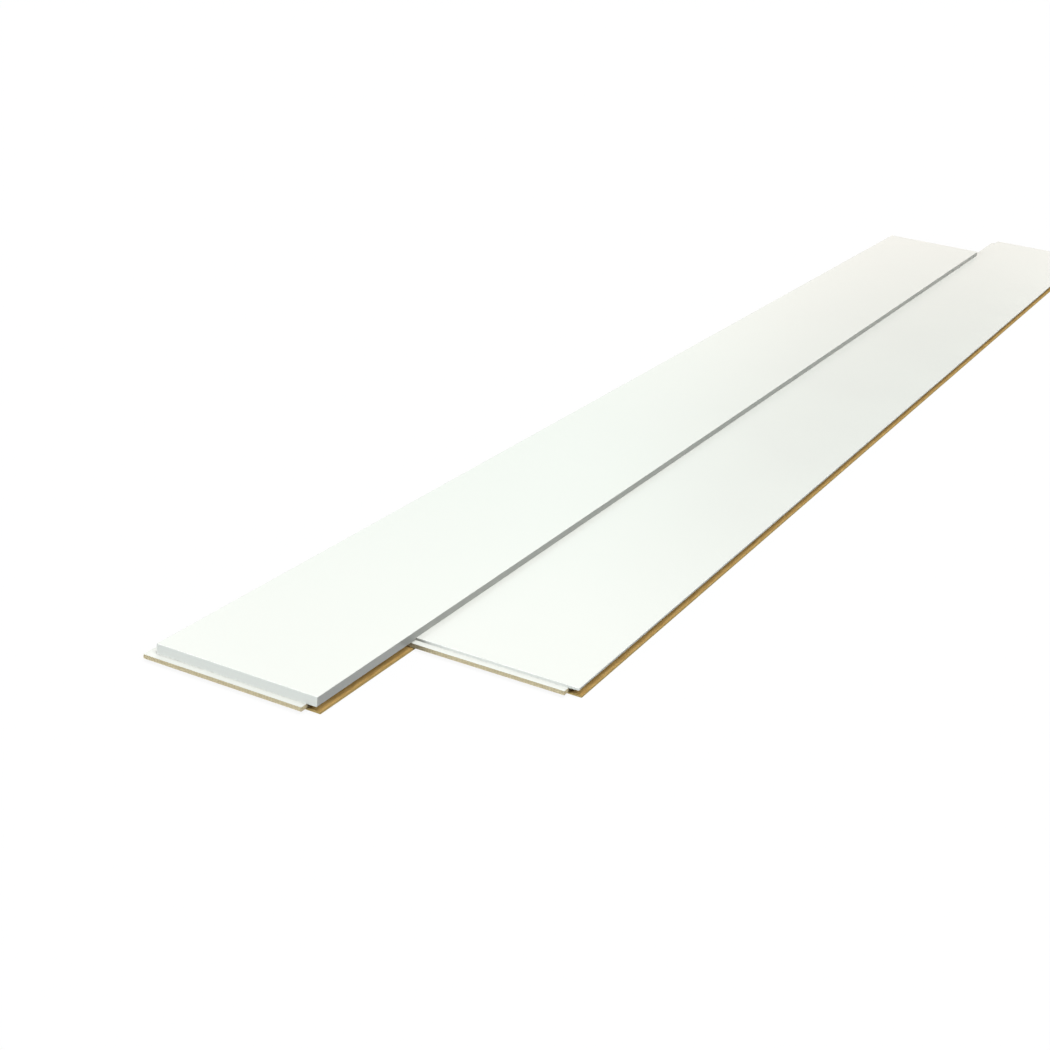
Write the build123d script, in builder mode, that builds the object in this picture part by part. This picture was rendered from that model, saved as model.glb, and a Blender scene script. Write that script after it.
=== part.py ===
"""Three-dimensional wall panel: a thick and a thin tongue-and-groove board pushed together.

Each board is milled wood fibreboard under a thin white foil. Every board has its tongue on the left side
and on the front end, and its groove on the right side and on the back end. The two heights share one
tongue level, so the faces of neighbouring boards stand at different depths and the wall gets its relief.
The boards lie face up with their backs on the ground: X runs across them, Y along them, Z up to the face.
"""
import os

from build123d import *

# Faces: the cover size of one board, and the two board heights
face_width = 190.0
face_length = 2600.0
thick_board_height = 19.0
thin_board_height = 11.0

# Lay-up: how far the thin board is pushed back, and the hairline between the two faces
stagger = 190.0
face_gap = 0.2

# Tongue: how far it stands out of the face, its underside above the board's back, its height and lead-in
tongue_reach = 9.0
tongue_base = 3.0
tongue_height = 5.0
tongue_lead_in = 0.4

# Groove: a tongue's play in it, the bevel of its upper mouth, and the lower lip that stands proud
groove_play_above = 0.2
groove_play_below = 0.5
groove_play_behind = 3.0
mouth_bevel = 0.5
lip_reach = 2.5
lip_play = 0.5

# Foil: wrapped over the face, down its edges and out over the tongues, with softly rounded face edges
foil_thickness = 0.3
edge_radius = 0.5

# Levels and depths that follow from the sizes above
tongue_top = tongue_base + tongue_height
groove_top = tongue_top + groove_play_above
groove_floor = tongue_base - groove_play_below
groove_depth = tongue_reach + groove_play_behind
shoulder_setback = lip_reach + lip_play
foil_foot = tongue_top - foil_thickness

# What a board takes up, from the tip of its tongue to the edge of its lower lip
board_width = tongue_reach + face_width + lip_reach
board_length = tongue_reach + face_length + lip_reach

# The origin is under the middle of the pair, on the plane of the backs
thick_left = tongue_reach - (board_width + face_width + face_gap) / 2
thick_front = tongue_reach - (board_length + stagger) / 2

# Name, left face, front face and height of each board
boards = (
    ("thick_board", thick_left, thick_front, thick_board_height),
    ("thin_board", thick_left + face_width + face_gap, thick_front + stagger, thin_board_height),
)


def milled_outline(low_face, high_face, height):
    """Closed outline of a board cut through both of its edges, as (along the cut, up).

    The tongue stands out of the low face, and the groove is sunk into the high face.
    """
    Polyline(
        (low_face + shoulder_setback, 0),
        (low_face + shoulder_setback, tongue_base),
        (low_face - tongue_reach + tongue_lead_in, tongue_base),
        (low_face - tongue_reach, tongue_base + tongue_lead_in),
        (low_face - tongue_reach, tongue_top),
        (low_face, tongue_top),
        (low_face, height),
        (high_face, height),
        (high_face, groove_top + mouth_bevel),
        (high_face - mouth_bevel, groove_top),
        (high_face - groove_depth, groove_top),
        (high_face - groove_depth, groove_floor),
        (high_face + lip_reach, groove_floor),
        (high_face + lip_reach, 0),
        close=True,
    )


os.makedirs("parts", exist_ok=True)

for board_name, left, front, height in boards:
    right = left + face_width
    back = front + face_length
    face_centre = ((left + right) / 2, (front + back) / 2)

    # The whole board is what the milled outline leaves when it is run along the sides and across the ends
    with BuildPart() as whole_board:
        with BuildSketch(Plane.XZ.offset(-back - lip_reach)):
            with BuildLine():
                milled_outline(left, right, height)
            make_face()
        extrude(amount=board_length)
        with BuildSketch(Plane.YZ.offset(left - tongue_reach)):
            with BuildLine():
                milled_outline(front, back, height)
            make_face()
        extrude(amount=board_width, mode=Mode.INTERSECT)
        face_edges = whole_board.faces().sort_by(Axis.Z)[-1].edges()
        corner_edges = whole_board.edges().filter_by(Axis.Z).group_by(lambda edge: edge.bounding_box().max.Z)[-1]
        fillet(face_edges + corner_edges, radius=edge_radius)

    # The room under the foil: all below the tongue's foil, and a block inside the face's foil
    with BuildPart() as under_foil:
        with BuildSketch(Plane.XY.offset(foil_foot)):
            with Locations(face_centre):
                Rectangle(face_width - 2 * foil_thickness, face_length - 2 * foil_thickness)
        extrude(amount=height - foil_thickness - foil_foot)
        face_edges = under_foil.faces().sort_by(Axis.Z)[-1].edges()
        corner_edges = under_foil.edges().filter_by(Axis.Z)
        fillet(face_edges + corner_edges, radius=edge_radius - foil_thickness)
        with BuildSketch(Plane.XY):
            with Locations(face_centre):
                Rectangle(face_width + 2 * board_width, face_length + 2 * board_length)
        extrude(amount=foil_foot)

    # The fibreboard core
    with BuildPart() as core:
        add(whole_board.part)
        add(under_foil.part, mode=Mode.INTERSECT)
    core.part.label = f"{board_name}_core"
    export_step(core.part, f"parts/{core.part.label}.step")

    # The foil wrapped over it
    with BuildPart() as foil:
        add(whole_board.part)
        add(under_foil.part, mode=Mode.SUBTRACT)
    foil.part.label = f"{board_name}_foil"
    export_step(foil.part, f"parts/{foil.part.label}.step")
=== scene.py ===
"""Looks of the three-dimensional wall panel: two foil-faced tongue-and-groove boards, thick and thin."""
import math

import bpy
from mathutils import Matrix, Vector


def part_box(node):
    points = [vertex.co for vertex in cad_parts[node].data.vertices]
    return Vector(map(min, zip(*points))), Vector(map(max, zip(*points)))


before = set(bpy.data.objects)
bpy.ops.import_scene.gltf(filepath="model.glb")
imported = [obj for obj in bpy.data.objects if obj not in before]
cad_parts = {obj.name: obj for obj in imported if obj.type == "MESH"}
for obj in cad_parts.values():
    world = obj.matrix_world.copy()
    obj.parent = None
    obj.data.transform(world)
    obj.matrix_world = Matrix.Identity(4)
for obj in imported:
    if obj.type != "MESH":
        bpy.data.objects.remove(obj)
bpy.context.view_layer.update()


# The two board cores are milled from dry-process fibreboard. The press leaves dense brown skins and a
# paler middle. The cutters that shape the tongues and grooves leave fine ripples across their path, and
# their flat sides burnish the floor of the grooves.
MM = 0.001
boards = ("thick_board", "thin_board")
skin_depth = 2.8 * MM
skin_blend = 0.15 * MM
pale_fibre = (0.69, 0.60, 0.39, 1)
pale_fibre_fleck = (0.59, 0.48, 0.29, 1)
dense_fibre = (0.54, 0.39, 0.15, 1)
dense_fibre_fleck = (0.42, 0.29, 0.10, 1)
fleck_scale = 420
fleck_from, fleck_full = 0.42, 0.68
burnished_fibre = (0.52, 0.34, 0.12, 1)
burnished_fibre_streak = (0.38, 0.23, 0.07, 1)
streak_scales = (400, 40, 400)
streak_from, streak_full = 0.35, 0.65
burnish_from, burnish_full = 0.5, 0.9
end_cut_reach = 15 * MM
ripple_pitch = 3.2 * MM
# The colour is darkened down to this factor in each ripple band: painted shade of the ripples
painted_ripple_shade = 0.93
ripple_height = 0.15 * MM
wave_texture_pitch = math.tau / 20     # metres from band to band in Blender's wave texture at scale 1
fibre_scale = 1600
fibre_height = 0.12 * MM
fibre_roughness = 0.85


def node_adder(owner):
    """Empties the node tree of a material or world and gives back a short way to add linked nodes to it."""
    owner.use_nodes = True
    tree = owner.node_tree
    tree.nodes.clear()

    def add(kind, inputs=None, **settings):
        node = tree.nodes.new(kind)
        for name, value in settings.items():
            setattr(node, name, value)
        for socket, value in (inputs or {}).items():
            if isinstance(value, bpy.types.NodeSocket):
                tree.links.new(value, node.inputs[socket])
            else:
                node.inputs[socket].default_value = value
        return node

    return add


def maths(add, operation, *values):
    """The result of one mathematical operation on one or two values."""
    return add("ShaderNodeMath", dict(enumerate(values)), operation=operation).outputs[0]


def colour_mix(add, factor, low, high):
    """The colour that goes from low to high with the factor."""
    return add("ShaderNodeMix", {0: factor, 6: low, 7: high}, data_type="RGBA").outputs[2]


def remap(add, value, from_low, from_high, to_low=0.0, to_high=1.0):
    """The value stretched from one range to another, and held at the ends of it."""
    return add("ShaderNodeMapRange", {
        "Value": value, "From Min": from_low, "From Max": from_high, "To Min": to_low,
        "To Max": to_high}).outputs[0]


def noise(add, place, scale, detail, roughness=0.5):
    """Cloudy values around one half, which lie closer together with a larger scale."""
    return add("ShaderNodeTexNoise", {
        "Vector": place, "Scale": scale, "Detail": detail, "Roughness": roughness}).outputs["Fac"]


def raw_fibreboard(name, core_name):
    """Raw milled fibreboard for one core, which tells its skin, grooves and ends by their place on it."""
    low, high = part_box(core_name)
    material = bpy.data.materials.new(name)
    add = node_adder(material)
    coordinates = add("ShaderNodeTexCoord").outputs
    place = coordinates["Object"]
    across, along, height = add("ShaderNodeSeparateXYZ", {0: place}).outputs

    # Dense skin at the back of the board, pale fibre above it, both flecked with bundles of fibre
    above_skin = remap(add, height, skin_depth - skin_blend, skin_depth + skin_blend)
    flecks = remap(add, noise(add, place, fleck_scale, detail=6, roughness=0.75), fleck_from, fleck_full)
    pale = colour_mix(add, flecks, pale_fibre, pale_fibre_fleck)
    dense = colour_mix(add, flecks, dense_fibre, dense_fibre_fleck)
    colour = colour_mix(add, above_skin, dense, pale)

    # The burnished floor of the grooves faces up and has long streaks
    facing_up = add("ShaderNodeSeparateXYZ", {0: coordinates["Normal"]}).outputs["Z"]
    streak_place = add("ShaderNodeVectorMath", {0: place, 1: streak_scales}, operation="MULTIPLY").outputs[0]
    streaks = remap(add, noise(add, streak_place, 1, detail=3, roughness=0.6), streak_from, streak_full)
    burnished = colour_mix(add, streaks, burnished_fibre, burnished_fibre_streak)
    colour = colour_mix(add, remap(add, facing_up, burnish_from, burnish_full), colour, burnished)

    # The cutters' way: along the board on its sides, and across it near both of its ends
    from_middle = maths(add, "ABSOLUTE", maths(add, "SUBTRACT", along, (low.y + high.y) / 2))
    at_an_end = maths(add, "GREATER_THAN", from_middle, (high.y - low.y) / 2 - end_cut_reach)
    cutter_way = add("ShaderNodeMix", {0: at_an_end, 2: along, 3: across}, data_type="FLOAT").outputs[0]
    cutter_place = add("ShaderNodeCombineXYZ", {0: cutter_way, 2: height}).outputs[0]

    # Ripples that the cutters leave every feed step, as bumps and as painted shade that darkens the colour
    # in each band, and the nap of the fibres
    ripples = add("ShaderNodeTexWave", {
        "Vector": cutter_place, "Scale": wave_texture_pitch / ripple_pitch, "Distortion": 1.2, "Detail": 2,
        "Detail Scale": 3}, bands_direction="X").outputs["Fac"]
    # Painted shade: the colour is darkened band by band along the ripples
    painted_ripple_shading = remap(add, ripples, 0, 1, painted_ripple_shade, 1)
    colour = add("ShaderNodeVectorMath", {0: colour, 3: painted_ripple_shading}, operation="SCALE").outputs[0]
    ripple_bump = add("ShaderNodeBump", {"Height": ripples, "Strength": 0.35, "Distance": ripple_height})
    fibre_bump = add("ShaderNodeBump", {
        "Height": noise(add, place, fibre_scale, detail=4, roughness=0.7), "Strength": 0.6,
        "Distance": fibre_height, "Normal": ripple_bump.outputs[0]})
    shader = add("ShaderNodeBsdfPrincipled", {
        "Base Color": colour, "Roughness": fibre_roughness, "Specular IOR Level": 0.25,
        "Normal": fibre_bump.outputs[0]})
    add("ShaderNodeOutputMaterial", {"Surface": shader.outputs[0]})
    return material


for board in boards:
    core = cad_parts[f"{board}_core"]
    core.data.materials.clear()
    core.data.materials.append(raw_fibreboard(f"{board}_raw_fibreboard", core.name))


# The white foil is a thin satin decor foil, glued on under rollers. It runs over the face, down the
# edges and out over the tongues, where the cutters trimmed it flush.
foil_white = (0.92, 0.93, 0.875, 1)
foil_white_cooler = (0.90, 0.92, 0.86, 1)
satin_smoothest = 0.16
satin_roughest = 0.22
foil_drift_scale = 5
roller_wave_scale = 14
roller_wave_height = 0.4 * MM
foil_grain_scale = 900
foil_grain_height = 0.02 * MM


def satin_foil():
    """White foil whose colour and sheen drift a little, with soft roller waves and a fine grain."""
    material = bpy.data.materials.new("white_satin_foil")
    add = node_adder(material)
    place = add("ShaderNodeTexCoord").outputs["Object"]
    drift = noise(add, place, foil_drift_scale, detail=2)
    wave_bump = add("ShaderNodeBump", {
        "Height": noise(add, place, roller_wave_scale, detail=1), "Strength": 0.25,
        "Distance": roller_wave_height})
    grain_bump = add("ShaderNodeBump", {
        "Height": noise(add, place, foil_grain_scale, detail=3), "Strength": 0.2,
        "Distance": foil_grain_height, "Normal": wave_bump.outputs[0]})
    shader = add("ShaderNodeBsdfPrincipled", {
        "Base Color": colour_mix(add, drift, foil_white, foil_white_cooler),
        "Roughness": remap(add, drift, 0, 1, satin_smoothest, satin_roughest),
        "Specular IOR Level": 0.5, "Normal": grain_bump.outputs[0]})
    add("ShaderNodeOutputMaterial", {"Surface": shader.outputs[0]})
    return material


foil_material = satin_foil()
for board in boards:
    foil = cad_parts[f"{board}_foil"]
    foil.data.materials.clear()
    foil.data.materials.append(foil_material)


# The floor is a plain white sheet just under the boards, wide enough to reach the horizon of every view.
# Seen or mirrored it is mostly its own light, so that only faint shadows show. To other bounced light it
# is nearly black. It is clear from below and to the lamps.
floor_reach = 60
floor_drop = 0.1 * MM
floor_glow = 0.92
floor_bounce = 0.02
white = (1, 1, 1, 1)


def mirror_rays(add, path):
    """1 where a ray comes out of a mirroring or clear surface."""
    return maths(add, "MAXIMUM", path["Is Glossy Ray"], path["Is Transmission Ray"])


def shader_mix(add, factor, low, high):
    """The shader that goes from low to high with the factor."""
    return add("ShaderNodeMixShader", {0: factor, 1: low.outputs[0], 2: high.outputs[0]})


floor_mesh = bpy.data.meshes.new("floor")
floor_corners = [Vector((x * floor_reach, y * floor_reach, -floor_drop))
                 for x, y in ((-1, -1), (1, -1), (1, 1), (-1, 1))]
floor_mesh.from_pydata(floor_corners, [], [(0, 1, 2, 3)])
floor = bpy.data.objects.new("floor", floor_mesh)
bpy.context.scene.collection.objects.link(floor)
floor_material = bpy.data.materials.new("white_floor")
add = node_adder(floor_material)
path = add("ShaderNodeLightPath").outputs
shown = maths(add, "MAXIMUM", path["Is Camera Ray"], mirror_rays(add, path))
shaded_white = add("ShaderNodeBsdfDiffuse", {"Color": white})
plain_white = add("ShaderNodeEmission", {"Color": white, "Strength": 1})
shown_floor = shader_mix(add, floor_glow, shaded_white, plain_white)
bounced = add("ShaderNodeEmission", {"Color": white, "Strength": floor_bounce})
upper_side = shader_mix(add, shown, bounced, shown_floor)
from_below = add("ShaderNodeNewGeometry").outputs["Backfacing"]
let_through = maths(add, "MAXIMUM", from_below, path["Is Shadow Ray"])
floor_shader = shader_mix(add, let_through, upper_side, add("ShaderNodeBsdfTransparent"))
add("ShaderNodeOutputMaterial", {"Surface": floor_shader.outputs[0]})
floor_mesh.materials.append(floor_material)


# Studio light: a broad lamp overhead, a low soft one from the front left that leaves the right sides in
# shade, a weaker one from the right, one that shows the backs from below, and one for the raw cores alone
# that reaches into their grooves. No lamp's light is bounced or mirrored, so that white faces stay even.
neutral_light = (1, 1, 1)
cool_light = (0.92, 0.97, 1)


def soft_sun(name, colour, strength, azimuth, elevation, width):
    """A lamp at an azimuth counted from the front towards the left. Angles are in degrees."""
    lamp = bpy.data.lights.new(name, "SUN")
    lamp.energy = strength * math.pi
    lamp.color = colour
    lamp.angle = math.radians(width)
    lamp.cycles.max_bounces = 0
    holder = bpy.data.objects.new(name, lamp)
    turn, rise = math.radians(azimuth), math.radians(elevation)
    source = Vector((-math.sin(turn) * math.cos(rise), -math.cos(turn) * math.cos(rise), math.sin(rise)))
    holder.rotation_mode = "QUATERNION"
    holder.rotation_quaternion = source.to_track_quat("Z", "Y")
    holder.visible_glossy = False
    bpy.context.scene.collection.objects.link(holder)
    return holder


soft_sun("overhead_lamp", neutral_light, strength=0.74, azimuth=-90, elevation=88, width=50)
soft_sun("front_left_lamp", cool_light, strength=0.63, azimuth=12, elevation=8, width=12)
soft_sun("right_lamp", cool_light, strength=0.27, azimuth=-75, elevation=48, width=45)
soft_sun("back_lamp", neutral_light, strength=0.8, azimuth=0, elevation=-90, width=10)
groove_lamp = soft_sun("groove_lamp", neutral_light, strength=0.5, azimuth=-75, elevation=35, width=40)
raw_cores = bpy.data.collections.new("raw_cores")
for board in boards:
    raw_cores.objects.link(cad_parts[f"{board}_core"])
groove_lamp.light_linking.receiver_collection = raw_cores


# The surround is plain white to the camera and weak to diffuse light. In reflections it is a studio:
# warm low down, dimmer and slightly green above that, bright overhead and a little cloudy, with a dark
# flag far behind the boards that shades the reflection on the thin one.
ambient_strength = 0.03
mirror_strength = 1.38
mirror_rises = (0.20, 0.28, 0.34, 0.46)
mirror_colours = ((0.98, 0.84, 0.76, 1), (0.50, 0.58, 0.54, 1), (0.38, 0.60, 0.54, 1), (1, 0.95, 0.94, 1))
cloud_scale = 9
cloud_contrast = 0.12
cloud_thinnest, cloud_thickest = 0.3, 0.7
flag_direction = (-0.228, 0.93, 0.285)
flag_tilt = math.radians(41)
flag_reach = (0.17, 0.5, 0.08)
flag_core = 0.6
flag_light = 0.05
surround = bpy.data.worlds.new("white_surround")
bpy.context.scene.world = surround
add = node_adder(surround)
path = add("ShaderNodeLightPath").outputs
direction = add("ShaderNodeTexCoord").outputs["Generated"]
rise = add("ShaderNodeSeparateXYZ", {0: direction}).outputs["Z"]
studio = add("ShaderNodeValToRGB", {0: rise})
stops = studio.color_ramp.elements
while len(stops) < len(mirror_rises):
    stops.new(1)
for stop, stop_rise, stop_colour in zip(stops, mirror_rises, mirror_colours):
    stop.position = stop_rise
    stop.color = stop_colour
clouds = remap(add, noise(add, direction, cloud_scale, detail=2), cloud_thinnest, cloud_thickest,
               1 - cloud_contrast, 1 + cloud_contrast)
flag_place = add("ShaderNodeMapping", {
    "Vector": direction, "Location": flag_direction, "Rotation": (0, flag_tilt, 0), "Scale": flag_reach},
    vector_type="TEXTURE").outputs[0]
flag = add("ShaderNodeTexGradient", {0: flag_place}, gradient_type="SPHERICAL").outputs["Fac"]
unflagged = remap(add, flag, 0, flag_core, 1, flag_light)
brightness = maths(add, "MULTIPLY", maths(add, "MULTIPLY", clouds, unflagged), mirror_strength)
ambient = add("ShaderNodeBackground", {"Color": white, "Strength": ambient_strength})
reflected = add("ShaderNodeBackground", {"Color": studio.outputs["Color"], "Strength": brightness})
backdrop = add("ShaderNodeBackground", {"Color": white, "Strength": 1})
unseen = shader_mix(add, mirror_rays(add, path), ambient, reflected)
world_shader = shader_mix(add, path["Is Camera Ray"], unseen, backdrop)
add("ShaderNodeOutputWorld", {"Surface": world_shader.outputs[0]})


# The camera looks down along the boards from the front right, as in the photograph. Its place is counted
# from the floor under the front left corner of the thick board's face, where both tongues start.
tongue_reach = 9 * MM
frame_pixels = 1050
focal_pixels = 1859.4
camera_from_corner = Vector((1015.8, -1369.9, 845.2)) * MM
camera_yaw, camera_pitch, camera_roll = (math.radians(angle) for angle in (-24.607, 21.542, -6.0))
tongue_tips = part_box("thick_board_foil")[0]
face_corner = Vector((tongue_tips.x + tongue_reach, tongue_tips.y + tongue_reach, 0))
camera = bpy.data.cameras.new("camera")
camera.sensor_width = 36
camera.lens = focal_pixels / frame_pixels * camera.sensor_width
camera.clip_start = 0.05
camera.clip_end = 200
camera_holder = bpy.data.objects.new("camera", camera)
camera_holder.matrix_world = (
    Matrix.Translation(face_corner + camera_from_corner)
    @ Matrix.Rotation(-camera_yaw, 4, "Z")
    @ Matrix.Rotation(math.pi / 2 - camera_pitch, 4, "X")
    @ Matrix.Rotation(-camera_roll, 4, "Z"))
bpy.context.scene.collection.objects.link(camera_holder)
bpy.context.scene.camera = camera_holder
bpy.context.scene.view_settings.view_transform = "Standard"
